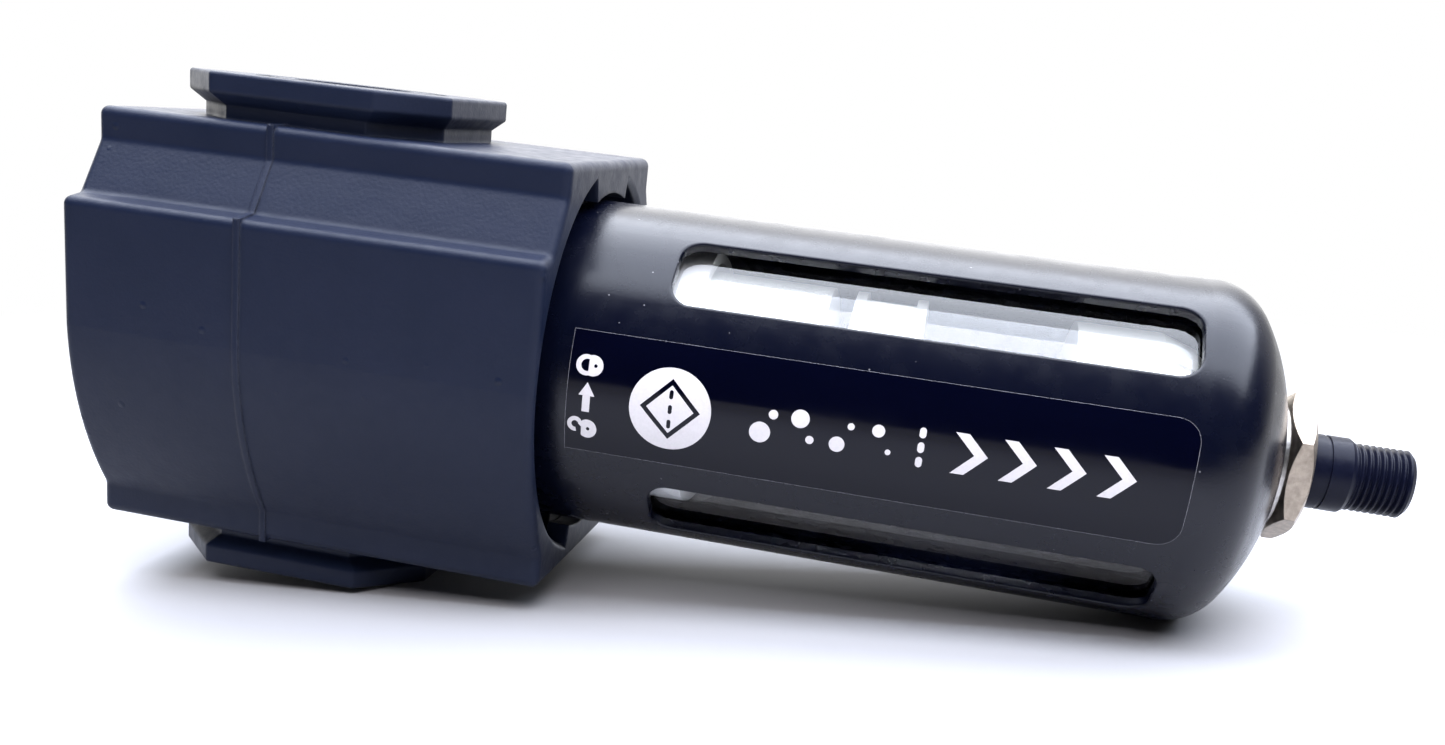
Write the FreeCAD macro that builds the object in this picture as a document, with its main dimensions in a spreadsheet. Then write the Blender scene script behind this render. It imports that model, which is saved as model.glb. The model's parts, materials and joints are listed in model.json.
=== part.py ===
import FreeCAD, Part
import math
import os
import re
import Sketcher

# Plug-in compressed air filter with a clear bowl in a slotted metal guard.
# +Z is up, the bowl hangs down, and air flows along +X. The origin is where the line of
# the two ports crosses the axis of the bowl. Lengths are in millimetres.

SIZES = {
    # How far a cut runs past the surface it leaves.
    "overrun": 1.0,
    # Die-cast body: a 62 mm square casting, open at the bottom.
    "body_half_width": 31.0,
    "body_panel": 31.0,
    "body_strip": 22.4,
    "body_top": 29.0,
    "body_bottom": -43.0,
    "strip_edge": 26.3,
    "ledge_foot": 27.2,
    "ledge_out": 18.9,
    "ledge_in": 18.3,
    "panel_bow_radius": 52.0,
    "body_edge_radius": 1.3,
    "parting_level": 1.5,
    "parting_width": 1.0,
    "parting_proud": 0.25,
    # Octagonal clamp flange on each side of the body.
    "flange_face": 37.5,
    "flange_edge": 2.9,
    "flange_slope": 1.7,
    "flange_half_width": 20.0,
    "flange_half_height": 21.0,
    "flange_corner": 8.4,
    "flange_edge_radius": 0.5,
    "port_radius": 9.0,
    "port_seal_radius": 13.5,
    "port_seal_section": 1.0,
    # Air passages inside the body.
    "inlet_plenum_radius": 24.0,
    "inlet_plenum_inner": 12.0,
    "inlet_plenum_angle": 100.0,
    "inlet_plenum_top": 8.0,
    "outlet_step": 12.0,
    "outlet_inner_radius": 8.0,
    "outlet_end": -5.0,
    "chamber_radius": 20.0,
    "chamber_roof": -12.0,
    "boss_radius": 11.0,
    "boss_foot": -20.0,
    "clean_hole_radius": 7.0,
    "stud_radius": 2.5,
    "stud_hole_top": 19.0,
    "stud_clearance": 0.1,
    "stud_top": 17.0,
    "stud_foot": -89.0,
    # Mouth of the body, with the bayonet lugs.
    "mouth_radius": 29.3,
    "mouth_chamfer": 0.7,
    "mouth_roof": -31.8,
    "lug_radius": 26.3,
    "lug_height": 3.5,
    "lug_angle": 34.0,
    "lug_count": 2,
    "bowl_bore_radius": 23.2,
    "bowl_bore_roof": -18.0,
    # Bowl guard.
    "guard_radius": 25.0,
    "guard_wall": 1.5,
    "guard_top": -35.0,
    "shoulder_level": -130.5,
    "shoulder_radius": 8.6,
    "dome_start_radius": 21.0,
    "dome_start_level": -139.1,
    "dome_start_slope": 57.0,
    "dome_radius": 34.0,
    "guard_flat_radius": 9.5,
    "guard_foot": -144.1,
    "guard_floor": -142.3,
    "guard_floor_radius": 10.5,
    "drain_hole_radius": 6.7,
    "tab_radius": 28.8,
    "tab_top": -36.4,
    "tab_foot": -39.4,
    "tab_angle": 30.0,
    "tab_root": 0.5,
    "window_pitch": 90.0,
    "window_top": -57.8,
    "window_foot": -129.1,
    "window_half_width": 5.55,
    "window_corner": 3.2,
    "window_edge_radius": 0.4,
    "window_clocking": 47.3,
    # Printed label on the guard.
    "label_top": -45.8,
    "label_foot": -130.0,
    "label_angle": 40.0,
    "label_centre": 1.2,
    "label_thickness": 0.12,
    "label_corner": 3.0,
    # Clear bowl.
    "bowl_radius": 22.9,
    "bowl_wall": 3.0,
    "bowl_top": -20.0,
    "bowl_flange_radius": 24.6,
    "bowl_flange_top": -32.0,
    "bowl_floor": -139.3,
    "bowl_floor_radius": 10.8,
    "bowl_flat_radius": 8.0,
    "bowl_heel_radius": 16.9,
    "bowl_heel_level": -135.3,
    "bowl_heel_curve": 9.0,
    "bowl_dome_level": -129.0,
    "seal_groove_radius": 21.2,
    "seal_groove_half": 1.2,
    "seal_level": -27.0,
    "seal_radius": 22.2,
    "seal_section": 0.98,
    # Air deflector.
    "deflector_radius": 19.4,
    "deflector_ring_bore": 17.8,
    "deflector_ring_drop": 1.0,
    "skirt_foot": -61.5,
    "deflector_foot": -30.0,
    "deflector_flange": 13.5,
    "deflector_top_flange": 12.0,
    "deflector_hub": 9.5,
    "deflector_hole": 7.2,
    "deflector_plate": 1.5,
    "vane_count": 12,
    "vane_lean": 4.5,
    "vane_thickness": 1.1,
    "vane_root": 0.5,
    # Filter element and what holds it.
    "element_radius": 16.5,
    "element_bore": 12.5,
    "element_end": 3.0,
    "element_foot": -79.0,
    "gasket_thickness": 1.0,
    "gasket_radius": 12.0,
    "lower_gasket_radius": 7.0,
    "nut_foot": -82.5,
    "nut_flats": 10.0,
    "baffle_foot": -92.8,
    "baffle_radius": 16.5,
    "baffle_core": 8.0,
    "baffle_plate": 1.5,
    "baffle_rib": 1.2,
    "baffle_rib_radius": 15.4,
    "rib_root": 1.0,
    "rib_count": 8,
    # Automatic drain: body, nut and seals.
    "drain_seal_thickness": 1.2,
    "drain_seal_radius": 10.2,
    "drain_flange_radius": 10.5,
    "drain_flange_thickness": 2.0,
    "drain_cylinder_radius": 9.0,
    "drain_cylinder_bore": 6.5,
    "drain_cylinder_top": -124.0,
    "drain_stem_radius": 6.5,
    "drain_seat_radius": 1.9,
    "drain_bore": 3.2,
    "drain_port_radius": 1.1,
    "drain_port_level": -134.3,
    "drain_port_count": 4,
    "collar_radius": 5.4,
    "collar_groove": 5.15,
    "collar_groove_half": 0.3,
    "collar_foot": -154.4,
    "thread_radius": 4.864,
    "thread_top": -155.2,
    "thread_foot": -163.0,
    "thread_chamfer": 0.6,
    "washer_thickness": 0.7,
    "washer_radius": 9.0,
    "drain_nut_flats": 19.0,
    "drain_nut_height": 3.5,
    # Both hexagon nuts, as shares of the width across flats, and the slope of a turned face.
    "nut_land_share": 0.48,
    "nut_reach_share": 0.6,
    "nut_bevel": 0.577,
    # Automatic drain: piston, spring and pilot.
    "piston_radius": 6.42,
    "piston_top": -126.2,
    "piston_height": 3.6,
    "piston_stem": 1.2,
    "piston_groove": 5.0,
    "piston_groove_half": 0.9,
    "piston_seal_radius": 5.74,
    "piston_seal_section": 0.74,
    "valve_radius": 2.9,
    "valve_seal_height": 0.88,
    "valve_head_height": 1.8,
    "seat_gap": 0.02,
    "spring_radius": 4.6,
    "spring_wire": 0.35,
    "spring_turns": 4.0,
    "pilot_cap_top": -121.8,
    "pilot_cap_spigot": 6.4,
    "pilot_cap_gap": 0.2,
    "pilot_nozzle_radius": 2.5,
    "pilot_tip_radius": 1.4,
    "pilot_hole": 0.6,
    "pilot_tip": -119.8,
    # Automatic drain: float and its cage.
    "float_radius": 14.6,
    "float_bore": 9.8,
    "float_top": -117.4,
    "float_roof": -119.2,
    "float_shoulder": -126.0,
    "float_foot": -133.6,
    "float_foot_radius": 11.9,
    "pilot_pad_radius": 2.2,
    "pilot_pad_top": -118.4,
    "cage_radius": 16.5,
    "cage_wall": 1.3,
    "cage_top": -114.0,
    "cage_cover": 1.2,
    "cage_foot_radius": 13.0,
    "cage_hole": 3.0,
    "cage_slot_count": 6,
    "cage_slot_half": 1.6,
    "cage_slot_foot": 3.0,
    "cage_slot_drop": 1.0,
}

# Edges closer to a plane than this count as lying in it.
EDGE_TOLERANCE = 0.1

document = FreeCAD.newDocument("air_filter")
sheet = document.addObject("Spreadsheet::Sheet", "Sizes")
for row, (alias, value) in enumerate(SIZES.items(), start=1):
    sheet.set(f"A{row}", alias)
    sheet.set(f"B{row}", str(value))
    sheet.setAlias(f"B{row}", alias)
document.recompute()

sub_parts = []


def formula(text):
    """Point every size name in a formula at its cell of the sheet."""
    return re.sub(r"\b[a-z][a-z_]+\b(?!\()", lambda word: "Sizes." + word.group(), text)


def size(text):
    """The present value of a formula of sizes."""
    return float(sheet.evalExpression(formula(text)))


def bind(thing, prop, text):
    """Tie a property to a formula of sizes."""
    thing.setExpression(prop, formula(text))


def fix_point(sketch, element, end, x_text, y_text):
    """Dimension a point of a sketch from the sketch's origin."""
    for kind, text in (("DistanceX", x_text), ("DistanceY", y_text)):
        index = sketch.addConstraint(Sketcher.Constraint(kind, -1, 1, element, end, size(text)))
        bind(sketch, f"Constraints[{index}]", text)


def fix_radius(sketch, element, text):
    """Dimension the radius of an arc or a circle."""
    index = sketch.addConstraint(Sketcher.Constraint("Radius", element, size(text)))
    bind(sketch, f"Constraints[{index}]", text)


def arc_between(start, end, radius, turn):
    """An arc of the given radius from start to end; turn is +1 anticlockwise, -1 clockwise."""
    chord = end - start
    height = math.sqrt(radius ** 2 - (chord.Length / 2) ** 2)
    side = FreeCAD.Vector(-chord.y, chord.x, 0).normalize() * turn
    centre = start + chord / 2 + side * height
    first, last = (start, end) if turn > 0 else (end, start)
    angles = [math.atan2(point.y - centre.y, point.x - centre.x) for point in (first, last)]
    circle = Part.Circle(centre, FreeCAD.Vector(0, 0, 1), radius)
    return Part.ArcOfCircle(circle, angles[0], angles[1])


def outline(sketch, corners):
    """Draw a closed, fully dimensioned outline.

    A corner is (x, y), with a straight side to the next corner, or (x, y, radius, turn),
    with an arc to the next corner. x, y and radius are formulae of sizes.
    """
    first_element = sketch.GeometryCount
    ends = []
    for index, corner in enumerate(corners):
        following = corners[(index + 1) % len(corners)]
        start = FreeCAD.Vector(size(corner[0]), size(corner[1]), 0)
        end = FreeCAD.Vector(size(following[0]), size(following[1]), 0)
        if len(corner) == 2:
            sketch.addGeometry(Part.LineSegment(start, end))
            ends.append((1, 2))
        else:
            sketch.addGeometry(arc_between(start, end, size(corner[2]), corner[3]))
            ends.append((1, 2) if corner[3] > 0 else (2, 1))
    for index, corner in enumerate(corners):
        element = first_element + index
        after = (index + 1) % len(corners)
        sketch.addConstraint(Sketcher.Constraint(
            "Coincident", element, ends[index][1], first_element + after, ends[after][0]))
        fix_point(sketch, element, ends[index][0], corner[0], corner[1])
        if len(corner) == 4:
            fix_radius(sketch, element, corner[2])


def circle(sketch, x_text, y_text, radius_text):
    """Draw a dimensioned circle."""
    centre = FreeCAD.Vector(size(x_text), size(y_text), 0)
    element = sketch.addGeometry(Part.Circle(centre, FreeCAD.Vector(0, 0, 1), size(radius_text)))
    fix_point(sketch, element, 3, x_text, y_text)
    fix_radius(sketch, element, radius_text)


def keep(thing, label):
    """Name a finished sub-part and put it on the list of files to write."""
    thing.Label = label
    sub_parts.append(thing)
    return thing


def new_body(label):
    """A new sub-part made of features."""
    return keep(document.addObject("PartDesign::Body", label), label)


def new_sketch(body, plane, name, offset="0", turn="0"):
    """A sketch on one of the body's own planes, moved along its normal and turned about its
    own upright axis by formulae of sizes."""
    sketch = body.newObject("Sketcher::SketchObject", name)
    origin_plane = next(part for part in body.Origin.OriginFeatures if part.Role == plane)
    sketch.AttachmentSupport = [(origin_plane, "")]
    sketch.MapMode = "FlatFace"
    rotation = FreeCAD.Rotation(FreeCAD.Vector(0, 1, 0), size(turn))
    sketch.AttachmentOffset = FreeCAD.Placement(FreeCAD.Vector(0, 0, size(offset)), rotation)
    bind(sketch, "AttachmentOffset.Base.z", offset)
    return sketch


def revolve(body, sketch, name, angle="360", cut=False, axis="V_Axis"):
    """Turn a sketch about one of its own axes, to add or to cut."""
    feature = body.newObject("PartDesign::Groove" if cut else "PartDesign::Revolution", name)
    feature.Profile = sketch
    feature.ReferenceAxis = (sketch, [axis])
    feature.Midplane = size(angle) < 360
    bind(feature, "Angle", angle)
    document.recompute()
    return feature


def extrude(body, sketch, name, length, cut=False, reverse=False, both_ways=False):
    """Pad or pocket a sketch by a formula of sizes."""
    feature = body.newObject("PartDesign::Pocket" if cut else "PartDesign::Pad", name)
    feature.Profile = sketch
    feature.Reversed = reverse
    feature.Midplane = both_ways
    bind(feature, "Length", length)
    document.recompute()
    return feature


def repeat_round(body, feature, name, count):
    """Repeat a feature evenly about Z."""
    pattern = body.newObject("PartDesign::PolarPattern", name)
    pattern.Originals = [feature]
    z_axis = next(part for part in body.Origin.OriginFeatures if part.Role == "Z_Axis")
    pattern.Axis = (z_axis, [""])
    pattern.Angle = 360
    bind(pattern, "Occurrences", count)
    body.Tip = pattern
    document.recompute()
    return pattern


def turned(label, corners, name="Profile"):
    """A sub-part turned about Z from one half-section of (radius, level) corners."""
    body = new_body(label)
    sketch = new_sketch(body, "XZ_Plane", name)
    outline(sketch, corners)
    revolve(body, sketch, "Turned")
    return body


def washer(label, inner, outer, foot, top):
    """A flat ring."""
    return turned(label, [(inner, foot), (outer, foot), (outer, top), (inner, top)])


def round_seal(label, ring_radius, section, x_text, z_text, along_x=False):
    """An O-ring, lying flat or standing across the X axis."""
    ring = keep(document.addObject("Part::Torus", label), label)
    bind(ring, "Radius1", ring_radius)
    bind(ring, "Radius2", section)
    tilt = FreeCAD.Rotation(FreeCAD.Vector(0, 1, 0), 90 if along_x else 0)
    ring.Placement = FreeCAD.Placement(FreeCAD.Vector(0, 0, 0), tilt)
    bind(ring, "Placement.Base.x", x_text)
    bind(ring, "Placement.Base.z", z_text)


def negated(text):
    """A formula with the opposite sign."""
    return f"-({text})"


def round_edges(body, base, name, radius, chosen):
    """Round the edges of a feature that the test picks out."""
    edges = [f"Edge{n}" for n, edge in enumerate(base.Shape.Edges, start=1) if chosen(edge)]
    fillet = body.newObject("PartDesign::Fillet", name)
    fillet.Base = (base, edges)
    bind(fillet, "Radius", radius)
    document.recompute()
    return fillet


def body_outline(sketch, grow):
    """Section of the body: one sculpted face, and the same face turned half round behind it."""
    half = [
        (f"body_half_width + {grow}", f"-body_strip - {grow}"),
        (f"body_half_width + {grow}", f"body_strip + {grow}"),
        ("strip_edge", f"body_strip + {grow}", "panel_bow_radius", 1),
        ("0", f"body_panel + {grow}"),
        (f"-ledge_in - {grow}", f"body_panel + {grow}"),
        (f"-ledge_out - {grow}", f"ledge_foot + {grow}"),
        ("-strip_edge", f"body_strip + {grow}"),
    ]
    other_half = [(negated(x), negated(y), *arc) for x, y, *arc in half]
    outline(sketch, half + other_half)


def octagon(sketch, inset):
    """The outline of a clamp flange, or of its neck when inset."""
    wide = f"(flange_half_width - {inset})"
    tall = f"(flange_half_height - {inset})"
    short_wide = f"({wide} - flange_corner)"
    short_tall = f"({tall} - flange_corner)"
    outline(sketch, [
        (wide, f"-{short_tall}"), (wide, short_tall),
        (short_wide, tall), (f"-{short_wide}", tall),
        (f"-{wide}", short_tall), (f"-{wide}", f"-{short_tall}"),
        (f"-{short_wide}", f"-{tall}"), (short_wide, f"-{tall}"),
    ])


def on_clamp_rim(edge):
    """True for the edges of the two clamp rims."""
    return abs(edge.BoundBox.Center.x) > size("flange_face - flange_edge") - EDGE_TOLERANCE


def add_clamp_flanges(body):
    """A neck through the body, then an undercut rim on the +X side and its mirror image."""
    neck_sketch = new_sketch(body, "YZ_Plane", "NeckOutline")
    octagon(neck_sketch, "flange_slope")
    extrude(body, neck_sketch, "Neck", "2 * (flange_face - flange_edge)", both_ways=True)

    slope_foot = new_sketch(body, "YZ_Plane", "SlopeFoot", "flange_face - flange_edge - flange_slope")
    octagon(slope_foot, "flange_slope")
    slope_edge = new_sketch(body, "YZ_Plane", "SlopeEdge", "flange_face - flange_edge")
    octagon(slope_edge, "0")
    slope = body.newObject("PartDesign::AdditiveLoft", "Slope")
    slope.Profile = slope_foot
    slope.Sections = [slope_edge]
    slope.Ruled = True
    document.recompute()

    rim_sketch = new_sketch(body, "YZ_Plane", "RimOutline", "flange_face - flange_edge")
    octagon(rim_sketch, "0")
    rim = extrude(body, rim_sketch, "Rim", "flange_edge")

    mirror = body.newObject("PartDesign::Mirrored", "OtherFlange")
    mirror.Originals = [slope, rim]
    plane = next(part for part in body.Origin.OriginFeatures if part.Role == "YZ_Plane")
    mirror.MirrorPlane = (plane, [""])
    body.Tip = mirror
    document.recompute()
    round_edges(body, mirror, "RimEdges", "flange_edge_radius", on_clamp_rim)


def cut_bowl_cavity(body):
    """The mouth, the bowl's bore, the air chamber round its boss, and the clean-air hole."""
    sketch = new_sketch(body, "XZ_Plane", "Cavity")
    below = "body_bottom - overrun"
    outline(sketch, [
        ("0", below), ("mouth_radius + mouth_chamfer", below),
        ("mouth_radius + mouth_chamfer", "body_bottom"),
        ("mouth_radius", "body_bottom + mouth_chamfer"), ("mouth_radius", "mouth_roof"),
        ("bowl_bore_radius", "mouth_roof"), ("bowl_bore_radius", "bowl_bore_roof"),
        ("chamber_radius", "bowl_bore_roof"), ("chamber_radius", "chamber_roof"),
        ("boss_radius", "chamber_roof"), ("boss_radius", "boss_foot"),
        ("clean_hole_radius", "boss_foot"), ("clean_hole_radius", "0"),
        ("stud_radius", "0"), ("stud_radius", "stud_hole_top"), ("0", "stud_hole_top"),
    ])
    revolve(body, sketch, "CavityCut", cut=True)


def cut_ports(body):
    """Inlet port on -X, outlet port on +X, each with a seal groove in its flange."""
    sketch = new_sketch(body, "XZ_Plane", "Ports")
    outside = "(flange_face + overrun)"
    outline(sketch, [
        (f"-{outside}", "0"), (f"-{outside}", "port_radius"),
        ("-inlet_plenum_radius", "port_radius"), ("-inlet_plenum_radius", "0"),
    ])
    outline(sketch, [
        ("outlet_end", "0"), ("outlet_end", "outlet_inner_radius"),
        ("outlet_step", "outlet_inner_radius"), ("outlet_step", "port_radius"),
        (outside, "port_radius"), (outside, "0"),
    ])
    groove_floor = "(flange_face - 2 * port_seal_section - seat_gap)"
    inner = "port_seal_radius - port_seal_section"
    outer = "port_seal_radius + port_seal_section"
    for side in ("", "-"):
        outline(sketch, [
            (f"{side}{groove_floor}", inner), (f"{side}{outside}", inner),
            (f"{side}{outside}", outer), (f"{side}{groove_floor}", outer),
        ])
    revolve(body, sketch, "PortCut", cut=True, axis="H_Axis")


def cut_inlet_plenum(body):
    """A kidney-shaped passage that takes the incoming air down to the chamber."""
    sketch = new_sketch(body, "XZ_Plane", "Plenum")
    below = "chamber_roof - overrun"
    outline(sketch, [
        ("-inlet_plenum_radius", below), ("-inlet_plenum_radius", "inlet_plenum_top"),
        ("-inlet_plenum_inner", "inlet_plenum_top"), ("-inlet_plenum_inner", below),
    ])
    revolve(body, sketch, "PlenumCut", "inlet_plenum_angle", cut=True)


def add_bayonet_lugs(body):
    """Two inward lugs at the mouth, under which the tabs of the guard turn."""
    sketch = new_sketch(body, "XZ_Plane", "LugSection")
    outline(sketch, [
        ("lug_radius", "body_bottom"), ("mouth_radius + mouth_chamfer", "body_bottom"),
        ("mouth_radius + mouth_chamfer", "body_bottom + lug_height"),
        ("lug_radius", "body_bottom + lug_height"),
    ])
    lug = revolve(body, sketch, "Lug", "lug_angle")
    repeat_round(body, lug, "Lugs", "lug_count")


def on_block_edge(edge):
    """True for the block's upright corners and for its top and bottom rims, except the crease
    in the middle of each panel."""
    upright = edge.BoundBox.ZLength > EDGE_TOLERANCE
    in_middle = abs(edge.BoundBox.Center.x) < EDGE_TOLERANCE
    return not (upright and in_middle)


def make_filter_body():
    """The die-cast body: outer block, parting line, clamp flanges and all its passages."""
    body = new_body("filter_body")
    block_sketch = new_sketch(body, "XY_Plane", "BlockOutline", "body_bottom")
    body_outline(block_sketch, "0")
    block = extrude(body, block_sketch, "Block", "body_top - body_bottom")
    round_edges(body, block, "SoftEdges", "body_edge_radius", on_block_edge)
    parting_sketch = new_sketch(body, "XY_Plane", "PartingOutline", "parting_level")
    body_outline(parting_sketch, "parting_proud")
    extrude(body, parting_sketch, "PartingLine", "parting_width", both_ways=True)
    add_clamp_flanges(body)
    cut_bowl_cavity(body)
    cut_ports(body)
    cut_inlet_plenum(body)
    add_bayonet_lugs(body)


def make_port_seals():
    """One O-ring in each clamp flange."""
    for label, side in (("inlet_port_seal", "-"), ("outlet_port_seal", "")):
        round_seal(label, "port_seal_radius", "port_seal_section - seat_gap",
                   f"{side}(flange_face - port_seal_section)", "0", along_x=True)


def make_air_deflector():
    """A ring of leaning vanes, which spins the incoming air, between a hub and a long skirt that
    shields the upper part of the element."""
    body = new_body("air_deflector")
    hub_sketch = new_sketch(body, "XZ_Plane", "HubSection")
    outline(hub_sketch, [
        ("deflector_hole", "boss_foot"), ("deflector_top_flange", "boss_foot"),
        ("deflector_top_flange", "boss_foot - deflector_plate"),
        ("deflector_hub", "boss_foot - deflector_plate"),
        ("deflector_hub", "deflector_foot + deflector_plate"),
        ("deflector_flange", "deflector_foot + deflector_plate"),
        ("deflector_flange", "deflector_foot"), ("deflector_hole", "deflector_foot"),
    ])
    revolve(body, hub_sketch, "Hub")
    vane_sketch = new_sketch(body, "YZ_Plane", "VaneSection", "deflector_hub - vane_root")
    vane_foot = "deflector_foot + deflector_plate - vane_root"
    vane_top = "boss_foot - deflector_plate - vane_root"
    outline(vane_sketch, [
        ("-vane_lean", vane_foot), ("-vane_lean + vane_thickness", vane_foot),
        ("vane_lean", vane_top), ("vane_lean - vane_thickness", vane_top),
    ])
    vane = extrude(body, vane_sketch, "Vane", "deflector_ring_bore - deflector_hub + 2 * vane_root")
    repeat_round(body, vane, "Vanes", "vane_count")
    skirt_sketch = new_sketch(body, "XZ_Plane", "SkirtSection")
    outline(skirt_sketch, [
        ("deflector_ring_bore", "skirt_foot"), ("deflector_radius", "skirt_foot"),
        ("deflector_radius", "boss_foot - deflector_ring_drop"),
        ("deflector_ring_bore", "boss_foot - deflector_ring_drop"),
    ])
    revolve(body, skirt_sketch, "Skirt")


def make_filter_element():
    """The sintered tube, with an inward end face at the top and at the bottom."""
    top = "deflector_foot - gasket_thickness"
    turned("filter_element", [
        ("deflector_hole", top), ("element_radius", top),
        ("element_radius", "element_foot"), ("stud_radius + stud_clearance", "element_foot"),
        ("stud_radius + stud_clearance", "element_foot + element_end"),
        ("element_bore", "element_foot + element_end"),
        ("element_bore", f"{top} - element_end"), ("deflector_hole", f"{top} - element_end"),
    ])
    washer("element_upper_gasket", "deflector_hole", "gasket_radius", top, "deflector_foot")
    washer("element_lower_gasket", "stud_radius + stud_clearance", "lower_gasket_radius",
           "element_foot - gasket_thickness", "element_foot")


def hexagon(sketch, flats):
    """A hexagon of the given width across flats, with two corners on the X axis."""
    reach = f"{flats} / sqrt(3)"
    outline(sketch, [
        (reach, "0"), (f"{reach} / 2", f"{flats} / 2"), (f"-{reach} / 2", f"{flats} / 2"),
        (f"-{reach}", "0"), (f"-{reach} / 2", f"-{flats} / 2"), (f"{reach} / 2", f"-{flats} / 2"),
    ])


def hex_nut(label, flats, foot, height, hole):
    """A hexagon nut with a plain hole and both faces turned off at 30 degrees."""
    body = new_body(label)
    sketch = new_sketch(body, "XY_Plane", "Hexagon", foot)
    hexagon(sketch, flats)
    extrude(body, sketch, "Hexagonal", height)
    cut_sketch = new_sketch(body, "XZ_Plane", "TurnedFaces")
    corner = f"{flats} * nut_reach_share"
    land = f"{flats} * nut_land_share"
    drop = f"({flats} * (nut_reach_share - nut_land_share) * nut_bevel)"
    outline(cut_sketch, [
        (land, f"{foot} + {height}"), (corner, f"{foot} + {height}"),
        (corner, f"{foot} + {height} - {drop}"),
    ])
    outline(cut_sketch, [(land, foot), (corner, f"{foot} + {drop}"), (corner, foot)])
    revolve(body, cut_sketch, "TurnedOff", cut=True)
    hole_sketch = new_sketch(body, "XY_Plane", "HoleCircle", foot)
    circle(hole_sketch, "0", "0", hole)
    extrude(body, hole_sketch, "Hole", height, cut=True, reverse=True)


def make_retaining_stud():
    """The rod that hangs the element and the baffle from the body, and the element's nut."""
    turned("retaining_stud", [
        ("0", "stud_foot"), ("stud_radius", "stud_foot"),
        ("stud_radius", "stud_top"), ("0", "stud_top"),
    ])
    hex_nut("element_nut", "nut_flats", "nut_foot",
            "(element_foot - gasket_thickness - nut_foot)", "stud_radius")


def make_quiet_zone_baffle():
    """The spool under the element: two plates, a core and upright ribs between them."""
    body = new_body("quiet_zone_baffle")
    sketch = new_sketch(body, "XZ_Plane", "SpoolSection")
    outline(sketch, [
        ("stud_radius", "nut_foot"), ("baffle_radius", "nut_foot"),
        ("baffle_radius", "nut_foot - baffle_plate"), ("baffle_core", "nut_foot - baffle_plate"),
        ("baffle_core", "baffle_foot + baffle_plate"),
        ("baffle_radius", "baffle_foot + baffle_plate"), ("baffle_radius", "baffle_foot"),
        ("0", "baffle_foot"), ("0", "stud_foot"), ("stud_radius", "stud_foot"),
    ])
    revolve(body, sketch, "Spool")
    rib_sketch = new_sketch(body, "XZ_Plane", "RibSection")
    outline(rib_sketch, [
        ("baffle_core - rib_root", "baffle_foot + rib_root"),
        ("baffle_rib_radius", "baffle_foot + rib_root"),
        ("baffle_rib_radius", "nut_foot - rib_root"),
        ("baffle_core - rib_root", "nut_foot - rib_root"),
    ])
    rib = extrude(body, rib_sketch, "Rib", "baffle_rib", both_ways=True)
    repeat_round(body, rib, "Ribs", "rib_count")


def dome(inward, turn=-1):
    """Start of the shoulder and of the dome, the guard's own or a formula's distance inside it.
    Turn is -1 for a surface drawn from the top down and +1 for one drawn from the foot up."""
    shoulder = (f"guard_radius - {inward}", "shoulder_level")
    start = (f"dome_start_radius - {inward} * cos(dome_start_slope)",
             f"dome_start_level + {inward} * sin(dome_start_slope)")
    if turn < 0:
        return [(*shoulder, f"shoulder_radius - {inward}", turn),
                (*start, f"dome_radius - {inward}", turn)]
    return [(*start, f"shoulder_radius - {inward}", turn), shoulder]


def rounded_window(sketch):
    """An upright slot with round corners."""
    side = "window_half_width"
    inner = "(window_half_width - window_corner)"
    top_in = "window_top - window_corner"
    foot_in = "window_foot + window_corner"
    outline(sketch, [
        (f"-{side}", top_in), (f"-{side}", foot_in, "window_corner", 1),
        (f"-{inner}", "window_foot"), (inner, "window_foot", "window_corner", 1),
        (side, foot_in), (side, top_in, "window_corner", 1),
        (inner, "window_top"), (f"-{inner}", "window_top", "window_corner", 1),
    ])


def on_window_rim(edge):
    """True for the edges of the windows on the outside of the guard."""
    far_in = min(math.hypot(vertex.X, vertex.Y) for vertex in edge.Vertexes)
    box = edge.BoundBox
    between_ends = box.ZMin > size("shoulder_level") and box.ZMax < size("tab_foot")
    return between_ends and far_in > size("guard_radius - guard_wall / 2")


def make_bowl_guard():
    """The metal guard: a tube with a domed end, two long windows and two bayonet tabs."""
    body = new_body("bowl_guard")
    sketch = new_sketch(body, "XZ_Plane", "GuardSection")
    outline(sketch, [
        ("guard_radius", "guard_top"), *dome("0"),
        ("guard_flat_radius", "guard_foot"), ("drain_hole_radius", "guard_foot"),
        ("drain_hole_radius", "guard_floor"),
        ("guard_floor_radius", "guard_floor", "dome_radius - guard_wall", 1),
        *dome("guard_wall", turn=1), ("guard_radius - guard_wall", "guard_top"),
    ])
    revolve(body, sketch, "Shell")
    for name, turn in (("Right", "window_clocking"), ("Left", "window_clocking - window_pitch")):
        window_sketch = new_sketch(body, "XZ_Plane", f"{name}Window", turn=turn)
        rounded_window(window_sketch)
        last_cut = extrude(body, window_sketch, f"{name}WindowCut", "guard_radius + overrun",
                           cut=True, reverse=True)
    round_edges(body, last_cut, "WindowEdges", "window_edge_radius", on_window_rim)
    tab_sketch = new_sketch(body, "XZ_Plane", "TabSection")
    outline(tab_sketch, [
        ("guard_radius - tab_root", "tab_foot"), ("tab_radius", "tab_foot"),
        ("tab_radius", "tab_top"), ("guard_radius - tab_root", "tab_top"),
    ])
    tab = revolve(body, tab_sketch, "Tab", "tab_angle")
    repeat_round(body, tab, "Tabs", "lug_count")


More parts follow.
